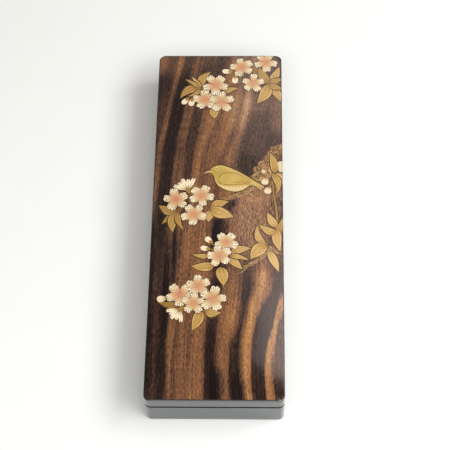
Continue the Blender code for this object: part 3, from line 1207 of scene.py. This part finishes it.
def paint_leaves():
    """Every gold leaf, each on its own thin layer over a dark outline that is a little larger."""
    bm = new_picture()
    for i, (x, y, tip_x, tip_y, width, bend, tone) in enumerate(LEAVES):
        foot, tip, layer = Vector((x, y)), Vector((tip_x, tip_y)), 1.4 + 1.2 * (i % 3)
        longer = (tip - foot).normalized() * 0.5 * LEAF_OUTLINE
        outline = width + LEAF_OUTLINE
        paint_lens(bm, foot, tip + longer, outline, layer - 0.3, 0.12, bend, *LEAF_OUTLINE_FORM)
        paint_lens(bm, foot, tip, width, layer, leaf_shade(tone), bend, *LEAF_FORM)
    finish_picture("gold_leaves", bm, GOLD)


paint_leaves()

# %% [markdown]
# ## Twigs and the old branch
#
# A twig is one smooth gold stroke, which thins or widens towards its end, over a darker one that is a little
# wider. Older wood is broad and rough. It starts as a dark outline and a body in a middle tone, both with
# ragged edges. Then come many short dabs of gold and brown for the flaking bark, each on a darker dab, all
# placed by seeded chance so that the result is the same each time.

# %% Paint the twigs
# Each twig: how wide it is at its start and at its end, and the points that it runs through.
TWIGS = (
    (0.9, 0.5, ((-13.6, 98.0), (-12.6, 96.4), (-9.5, 95.8), (-6.5, 94.6))),
    (0.6, 0.5, ((-13.0, 96.0), (-16.0, 92.5), (-18.5, 90.0), (-20.5, 88.2))),
    (0.6, 0.5, ((-14.5, 93.5), (-16.4, 91.0), (-17.5, 87.8))),
    (0.6, 0.5, ((7.6, 109.6), (9.5, 109.4), (11.6, 110.2))),
    (0.6, 0.5, ((9.9, 106.4), (10.4, 108.8), (11.8, 110.2))),
    (0.9, 0.6, ((25.0, 97.4), (27.6, 96.6), (29.8, 98.2), (31.8, 99.6), (41.0, 99.8))),
    (0.8, 0.5, ((-18.0, 18.4), (-16.0, 15.0), (-14.0, 10.0))),
    (0.8, 0.5, ((-2.8, 8.8), (-4.0, 5.0), (-6.0, 2.0))),
    (0.8, 0.5, ((27.0, 27.2), (25.0, 28.4), (23.0, 28.6))),
    (0.8, 0.5, ((32.0, 20.4), (33.0, 22.5), (33.6, 25.0))),
    (0.8, 1.3, ((33.8, 24.0), (34.2, 16.0), (35.2, 9.0), (36.0, 2.0), (36.4, -5.0))),
    (0.9, 0.8, ((36.6, -6.0), (35.6, -10.0), (34.4, -15.0), (33.0, -20.0))),
    (0.6, 0.3, ((19.0, -34.8), (17.2, -38.0), (14.0, -40.6), (10.0, -42.4), (5.6, -45.2))),
    (0.6, 0.5, ((-3.2, -20.4), (-1.5, -21.8), (1.0, -22.4))),
    (0.6, 0.5, ((-4.4, -24.4), (-2.4, -24.8), (0.0, -25.8))),
    (0.6, 0.5, ((-28.8, -58.2), (-26.6, -57.6), (-24.6, -57.0))),
    (0.6, 0.5, ((3.6, -48.2), (4.4, -50.6), (6.0, -52.0))),
)
TWIG_OUTLINE = 0.7
TWIG_TONE = 0.64


def along_points(points, u):
    """The place at u, from 0 to 1, on a smooth curve through evenly shared points."""
    spot = u * (len(points) - 1)
    return [follow([(i, point[k]) for i, point in enumerate(points)], spot) for k in range(len(points[0]))]


def paint_curve(bm, points, width_at, layer, shade, steps, ragged=0.0):
    """A stroke along a curve, as wide at u as width_at says, with ragged edges if asked."""

    def place(u, v):
        x, y = along_points(points, u)[:2]
        ahead = Vector(along_points(points, min(u + 0.01, 1.0))[:2])
        behind = Vector(along_points(points, max(u - 0.01, 0.0))[:2])
        run = (ahead - behind).normalized()
        half = 0.5 * width_at(u) * (1 + ragged * noise.noise((6 * v, 34 * u, 0.0)))
        return x - run.y * half * v, y + run.x * half * v

    lay_film(bm, steps, layer, place, shade)


def paint_twigs():
    """The thin twigs and stems, and the gold cups that hold the buds and the half-open flowers."""
    bm = new_picture()
    for first, last, points in TWIGS:
        steps = (5 * len(points), 4)
        paint_curve(bm, points, lambda u: first + (last - first) * u + TWIG_OUTLINE, 1.0, 0.0, steps)
        paint_curve(bm, points, lambda u: first + (last - first) * u, 1.6, TWIG_TONE, steps)
    for x, y, turn, length, width, tone in BUDS:
        # The palest buds are the ones that show most of their cup.
        share = 0.42 if tone > 0.9 else 0.2
        foot = polar((x, y), math.radians(turn), -0.3)
        tip = polar((x, y), math.radians(turn), share * length)
        paint_lens(bm, foot, tip, 1.5 * share * width, BUD_LAYER + 1.2, 0.62, steps=(8, 6))
    for x, y, length, turns, layer in HALF_OPEN:
        middle = math.radians(sum(turns) / len(turns))
        foot, tip = polar((x, y), middle, -2.4), polar((x, y), middle, 0.3 * length)
        paint_lens(bm, foot, tip, 2.6, layer + 1.6, 0.56)
    finish_picture("gold_twigs", bm, GOLD)


paint_twigs()

# %% Paint the old wood
# Each branch: its dabs, its tone at the start and further on, the tone under the dabs, and its points,
# each with the branch's width there.
OLD_WOOD = (
    (170, 0.44, 0.66, 0.24, (
        (42.0, 49.0, 6.0), (37.5, 47.6, 8.6), (33.5, 43.4, 7.2), (30.6, 38.6, 7.4), (29.2, 34.0, 10.2),
        (27.4, 29.6, 10.0), (24.0, 26.0, 6.2), (20.6, 21.0, 4.6), (18.0, 17.2, 4.4), (14.0, 14.8, 3.6),
        (9.5, 12.6, 2.6), (5.0, 11.2, 2.0), (0.5, 10.4, 1.4), (-3.0, 8.6, 0.8),
    )),
    (36, 0.56, 0.56, 0.0, (
        (37.6, -28.0, 1.6), (34.6, -25.4, 2.6), (32.0, -24.0, 3.2), (29.4, -26.8, 3.0), (26.6, -30.4, 2.7),
        (22.8, -33.2, 2.6), (19.0, -35.4, 2.2), (15.0, -37.8, 1.2),
    )),
)
BARK_SEED = 11
BARK_RAGGED = 0.5
BARK_STEPS = (90, 10)
DAB_STEPS = (5, 4)
DAB_TONES = (-0.22, -0.08, 0.08, 0.22)


def paint_dabs(bm, chance, dabs, tone_at, dark, points):
    """The dabs of bark on one branch, closer together near its start."""
    for i in range(dabs):
        u = chance.random() ** 1.3
        x, y, width = along_points(points, u)
        ahead = along_points(points, min(u + 0.02, 1.0))
        behind = along_points(points, max(u - 0.02, 0.0))
        heading = math.atan2(ahead[1] - behind[1], ahead[0] - behind[0])
        middle = polar((x, y), heading + math.pi / 2, width * chance.uniform(-0.52, 0.52))
        length = width * chance.uniform(0.14, 0.34) + 1.2
        turn = heading + chance.uniform(-0.9, 0.9)
        base, tip = polar(middle, turn, -length / 2), polar(middle, turn, length / 2)
        # Every second dab is lighter where the ground under the dabs is dark.
        shade = tone_at(u) + 1.2 * (0.3 - dark) * (i % 2) + chance.choice(DAB_TONES)
        slim = chance.uniform(0.55, 0.9) * length
        bend = chance.uniform(-0.12, 0.12)
        layer = 0.4 + 0.16 * (i % 4)
        paint_lens(bm, base, tip, slim, layer, dark, bend, DAB_STEPS)
        paint_lens(bm, base, tip, 0.72 * slim, layer + 0.1, shade, bend, DAB_STEPS)


def paint_old_wood():
    """Each old branch: its dark outline, its body, and the dabs of gold and brown bark on it."""
    bm = new_picture()
    chance = random.Random(BARK_SEED)
    for dabs, first_tone, last_tone, dark, points in OLD_WOOD:

        def width_at(u):
            return along_points(points, u)[2]

        def tone_at(u, v=0.0):
            return first_tone + (last_tone - first_tone) * rise(u, 0.0, 0.35)

        paint_curve(
            bm, points, lambda u: width_at(u) + TWIG_OUTLINE, -0.2, 0.05, BARK_STEPS, BARK_RAGGED
        )
        paint_curve(bm, points, width_at, 0.0, tone_at, BARK_STEPS, BARK_RAGGED)
        paint_dabs(bm, chance, dabs, tone_at, dark, points)
    finish_picture("old_wood", bm, BARK)


paint_old_wood()

# %% [markdown]
# ## The bird
#
# A small bird sits on the branch, painted in moss green over gold with a cream belly. Its body is a film
# between two curves, the back and the breast, which both run from the beak to the tail. The wing and the
# belly lie on it the same way. The tail is two tapering strokes, the beak a slim lens and the eye three
# dots, and thin dark strokes draw the wing's edge and its feathers.

# %% Paint the bird
BACK = (
    (-5.0, 31.5), (-4.0, 34.2), (-1.0, 36.1), (2.8, 36.2), (7.2, 34.6), (12.0, 32.0), (16.6, 29.0),
    (20.8, 26.1), (24.4, 23.3), (27.2, 20.8),
)
BREAST = (
    (-5.0, 30.9), (-3.6, 29.6), (-2.3, 26.9), (-1.2, 23.6), (1.2, 20.2), (5.6, 17.5), (11.0, 16.6),
    (15.8, 17.6), (19.0, 20.4), (22.0, 21.0), (26.0, 18.9),
)
BELLY_TOP = ((-2.2, 27.4), (-0.2, 23.0), (3.4, 21.2), (8.4, 21.0), (13.6, 21.3), (19.0, 21.5))
BELLY_FOOT = ((-2.3, 26.6), (-1.1, 23.0), (1.4, 20.0), (6.6, 17.3), (12.4, 16.9), (18.0, 20.0))
WING_TOP = ((0.6, 26.2), (2.2, 29.4), (6.0, 30.6), (10.8, 30.0), (15.4, 27.8), (20.4, 24.6))
WING_FOOT = ((0.6, 25.4), (1.6, 22.9), (5.0, 21.7), (10.0, 21.8), (15.0, 22.3), (20.4, 23.6))
TAIL_FEATHERS = (((20.0, 24.4), (24.4, 22.2), (28.3, 19.8)), ((19.8, 22.8), (23.4, 21.2), (27.0, 18.4)))
OUTLINE_OF_BIRD = 1.0
BELLY_FLECKS = 36
FLECK_HEIGHTS = (0.12, 0.8, 0.45)
WING_STROKES = 4
LEGS = (((6.4, 17.8), (7.2, 15.6), (8.2, 13.4)), ((9.8, 17.2), (9.6, 15.4), (9.0, 13.6)))
EYE = (-0.6, 33.4)


def paint_between(bm, first, second, layer, shade, steps):
    """A film between two curves, which u follows from end to end."""

    def place(u, v):
        low, high = Vector(along_points(second, u)), Vector(along_points(first, u))
        return low.lerp(high, (1 + v) / 2)

    lay_film(bm, steps, layer, place, shade)


def body_shade(u, v):
    """Yellow-green, paler along the crown and the back and at the front of the breast."""
    front = 0.12 * rise(v, 0.0, -1.0) * rise(u, 0.4, 0.2)
    return 0.55 + 0.18 * rise(v, 0.3, 1.0) + front - 0.03 * math.sin(9 * u)


def wing_shade(u, v):
    """Rows of feathers, each dark at its own edge."""
    row = (v * 2.2 + 0.8 * u) % 1.0
    return 0.68 - 0.12 * rise(row, 0.8, 0.95) + 0.03 * math.sin(14 * u)


def belly_shade(u, v):
    """Cream that darkens to gold where it meets the wing."""
    return 0.94 - 0.24 * rise(v, 0.1, 1.0)


def paint_bird():
    """Body, tail, belly, wing, eye, beak and the fine dark strokes."""
    bm = new_picture()
    for points in (BACK, BREAST):
        paint_curve(bm, points, lambda u: OUTLINE_OF_BIRD, 1.8, 0.04, (48, 2))
    paint_between(bm, BACK, BREAST, 2.0, body_shade, (48, 16))
    for points in TAIL_FEATHERS:
        paint_curve(bm, points, lambda u: 2.2 - 0.9 * u, 2.5, 0.3, (12, 4))
        paint_curve(bm, points, lambda u: 1.7 - 0.9 * u, 2.8, 0.73, (12, 4))
    for points in LEGS:
        paint_curve(bm, points, lambda u: 0.6, 1.6, 0.3, (6, 1))
    paint_between(bm, BELLY_TOP, BELLY_FOOT, 3.4, belly_shade, (32, 6))
    paint_between(bm, WING_TOP, WING_FOOT, 4.2, wing_shade, (36, 14))
    paint_curve(bm, WING_TOP, lambda u: 0.55 - 0.2 * u, 5.2, 0.3, (36, 2))
    paint_curve(bm, WING_FOOT, lambda u: 0.45, 5.2, 0.34, (36, 2))
    for i in range(BELLY_FLECKS):
        share = (i + 0.5) / BELLY_FLECKS
        low, high = Vector(along_points(BELLY_FOOT, share)), Vector(along_points(BELLY_TOP, share))
        paint_dot(bm, low.lerp(high, FLECK_HEIGHTS[i % 3]), 0.26, 4.6, 0.5, 6)
    for i in range(WING_STROKES):
        start, end = (8.0 + 2.2 * i, 23.2 + 0.5 * i), (19.6, 23.2 + 0.4 * i)
        paint_curve(bm, (start, end), lambda u: 0.22, 5.4, 0.42, (6, 1))
    paint_lens(bm, (-3.8, 31.5), (-9.2, 30.0), 1.2, 3.2, 0.8, -0.06, (10, 4), foot=0.4)
    paint_curve(bm, ((-4.4, 31.2), (-6.4, 30.9), (-8.8, 30.1)), lambda u: 0.16, 4.4, 0.4, (8, 1))
    paint_dot(bm, EYE, 1.2, 3.6, 0.96, 20)
    paint_dot(bm, EYE, 0.8, 3.9, 0.5, 20)
    paint_dot(bm, (EYE[0] - 0.1, EYE[1] + 0.1), 0.42, 4.2, 0.12, 16)
    finish_picture("painted_bird", bm, BIRD)


paint_bird()

# %% [markdown]
# ## The table and the light
#
# The table is a plain pale sheet. A wide soft light stands to the right and a little in front, and throws
# the soft shadow on the left. A second wide one stands in front, and lights the near faces and the paint.
#
# The lid mirrors what is above and behind it. There a nearly black card keeps the wood deep, with faint
# hazes that show as the pale veil over the wood, and one brighter patch at the near right of the lid. The
# room itself is dim, a little dimmer overhead and behind the box than in front of it.

# %% Make the table
TABLE_HALF = 4.0


def pale_table():
    """Matt white card with the faintest mottling."""
    material, tree = new_material("matt_white_card")
    place = node(tree, "ShaderNodeTexCoord").outputs["Object"]
    fleck = node(tree, "ShaderNodeTexNoise", {"Vector": place, "Scale": 1 / (30 * MM), "Detail": 3.0})
    colour = node(
        tree,
        "ShaderNodeMix",
        {"Factor": fleck, 6: linear("#ECEDEB"), 7: linear("#F0F1EF")},
        data_type="RGBA",
    )
    shader = node(
        tree,
        "ShaderNodeBsdfPrincipled",
        {"Base Color": colour, "Roughness": 0.9, "Specular IOR Level": 0.1},
    )
    node(tree, "ShaderNodeOutputMaterial", {"Surface": shader})
    return material


def lay_sheet(name, low, high, height, material):
    """A flat level sheet between two corners, at this height."""
    bm = bmesh.new()
    bmesh.ops.create_grid(bm, x_segments=1, y_segments=1, size=1.0)
    half = Vector(((high[0] - low[0]) / 2, (high[1] - low[1]) / 2, 1.0))
    middle = Vector(((high[0] + low[0]) / 2, (high[1] + low[1]) / 2, height))
    bmesh.ops.scale(bm, vec=half, verts=bm.verts)
    bmesh.ops.translate(bm, vec=middle, verts=bm.verts)
    mesh = bpy.data.meshes.new(name)
    bm.to_mesh(mesh)
    bm.free()
    mesh.materials.append(material)
    sheet = bpy.data.objects.new(name, mesh)
    bpy.context.scene.collection.objects.link(sheet)
    return sheet


table = lay_sheet("table", (-TABLE_HALF, -TABLE_HALF), (TABLE_HALF, TABLE_HALF), 0.0, pale_table())

# %% Set up the lights
# Each light: its azimuth and elevation in degrees, its distance, width and height, and its power.
LIGHTS = {
    "key": (-12, 48, 1.1, 1.2, 0.5, 11.0),
    "fill": (-91, 55, 1.2, 1.2, 0.6, 6.1),
}


def make_softbox(name, azimuth, elevation, distance, width, height, power):
    """A large softbox that faces the box, wider than it is high."""
    light = bpy.data.lights.new(name, "AREA")
    light.energy = power
    light.shape = "RECTANGLE"
    light.size = width
    light.size_y = height
    softbox = bpy.data.objects.new(name, light)
    bpy.context.scene.collection.objects.link(softbox)
    azimuth, elevation = math.radians(azimuth), math.radians(elevation)
    flat = math.cos(elevation)
    towards = Vector((flat * math.cos(azimuth), flat * math.sin(azimuth), math.sin(elevation)))
    softbox.location = towards * distance
    softbox.rotation_euler = towards.to_track_quat("Z", "Y").to_euler()
    print(f"{name}: {power} W at {distance} m")


for light_name, light_values in LIGHTS.items():
    make_softbox(light_name, *light_values)


# %% Hang the card that the lid mirrors
CARD_HEIGHT = 1.2
CARD_LOW = (-0.24, 0.34)
CARD_HIGH = (0.2, 1.3)
CARD_DARK = 0.05
# Each haze: its strength, where it rises from left to right, and where it rises and falls from near to far.
# A fall from 2.0 to 1.9 lies beyond the card, so such a haze reaches the card's far end.
HAZES = (
    (0.18, (-0.3, -0.2), (0.43, 0.78), (2.0, 1.9)),
    (0.4, (-0.3, -0.2), (0.99, 1.09), (2.0, 1.9)),
    (0.4, (-0.096, -0.015), (0.756, 0.919), (2.0, 1.9)),
    (0.6, (-0.023, 0.058), (0.891, 1.027), (2.0, 1.9)),
    (0.75, (-0.03, 0.01), (0.49, 0.6), (0.83, 0.74)),
    (0.45, (-0.01, 0.03), (0.8, 0.9), (2.0, 1.9)),
)
# The brighter patch has a slanting near edge and side, both nearly sharp, and fades out towards the back.
GLOW_NEAR = 0.468
GLOW_NEAR_SLANT = 0.6
GLOW_FAR = (0.72, 0.5)
GLOW_SIDE = -0.0115
GLOW_SIDE_SLANT = 0.06
GLOW_SOFT = 0.012
GLOW_STRENGTH = (1.6, 4.2)
GLOW_RISE = (0.02, 0.078)


def mirrored_card():
    """A nearly black card that glows faintly in hazes, and more in one patch."""
    material, tree = new_material("glowing_card")
    place = node(tree, "ShaderNodeTexCoord").outputs["Object"]
    axes = node(tree, "ShaderNodeSeparateXYZ", {"Vector": place})
    across, along = axes.outputs["X"], axes.outputs["Y"]

    # The patch's side and its near edge both lean.
    from_side = node(
        tree, "ShaderNodeMath", {0: along, 1: -GLOW_SIDE_SLANT, 2: across}, operation="MULTIPLY_ADD"
    )
    from_near = node(
        tree, "ShaderNodeMath", {0: across, 1: GLOW_NEAR_SLANT, 2: along}, operation="MULTIPLY_ADD"
    )
    glow = node(
        tree,
        "ShaderNodeMapRange",
        {
            "Value": across,
            "From Min": GLOW_RISE[0],
            "From Max": GLOW_RISE[1],
            "To Min": GLOW_STRENGTH[0],
            "To Max": GLOW_STRENGTH[1],
        },
    )
    patch_fades = (
        (from_side, (GLOW_SIDE, GLOW_SIDE + GLOW_SOFT)),
        (from_near, (GLOW_NEAR, GLOW_NEAR + GLOW_SOFT)),
        (along, GLOW_FAR),
    )
    patches = [(glow, patch_fades)]
    for strength, sides, rising, falling in HAZES:
        patches.append((strength, ((across, sides), (along, rising), (along, falling))))

    # Each patch is its strength times its fades, and the card's light is the sum of them all.
    light = CARD_DARK
    for strength, fades in patches:
        for value, (start, end) in fades:
            fade = node(
                tree,
                "ShaderNodeMapRange",
                {"Value": value, "From Min": start, "From Max": end},
                interpolation_type="SMOOTHSTEP",
            )
            strength = node(tree, "ShaderNodeMath", {0: strength, 1: fade}, operation="MULTIPLY")
        light = node(tree, "ShaderNodeMath", {0: light, 1: strength})
    emission = node(tree, "ShaderNodeEmission", {"Color": linear("#FFEDE6"), "Strength": light})
    node(tree, "ShaderNodeOutputMaterial", {"Surface": emission})
    return material


card = lay_sheet("card", CARD_LOW, CARD_HIGH, CARD_HEIGHT, mirrored_card())
print(len(HAZES), "hazes and one patch on the card")

# %% Light the room
# Each tone: how high up it is, from 0 at the horizon to 1 overhead, and how light the room is there.
ROOM_TONES = ((0.0, 0.84), (0.6, 0.78), (0.8, 0.6), (1.0, 0.54))
ROOM_FRONT = 0.62
ROOM_BACK = 0.4


def warm(tone):
    """The room's own light: a grey with a touch of yellow, as a ramp's colour."""
    return (tone, 0.972 * tone, 0.915 * tone, 1.0)


def make_room():
    """A dim room, lighter towards the horizon than overhead, and in front of the box than behind it."""
    world = bpy.data.worlds.new("room")
    world.use_nodes = True
    tree = world.node_tree
    tree.nodes.clear()
    direction = node(tree, "ShaderNodeTexCoord").outputs["Generated"]
    axes = node(tree, "ShaderNodeSeparateXYZ", {"Vector": direction})
    light = node(
        tree,
        "ShaderNodeValToRGB",
        {"Fac": axes.outputs["Z"]},
        [(stop, warm(tone)) for stop, tone in ROOM_TONES],
    )
    share = node(
        tree,
        "ShaderNodeMapRange",
        {
            "Value": axes.outputs["Y"],
            "From Min": -0.7,
            "From Max": 0.7,
            "To Min": ROOM_FRONT,
            "To Max": ROOM_BACK,
        },
    )
    background = node(tree, "ShaderNodeBackground", {"Color": light, "Strength": share})
    node(tree, "ShaderNodeOutputWorld", {"Surface": background})
    bpy.context.scene.world = world


make_room()
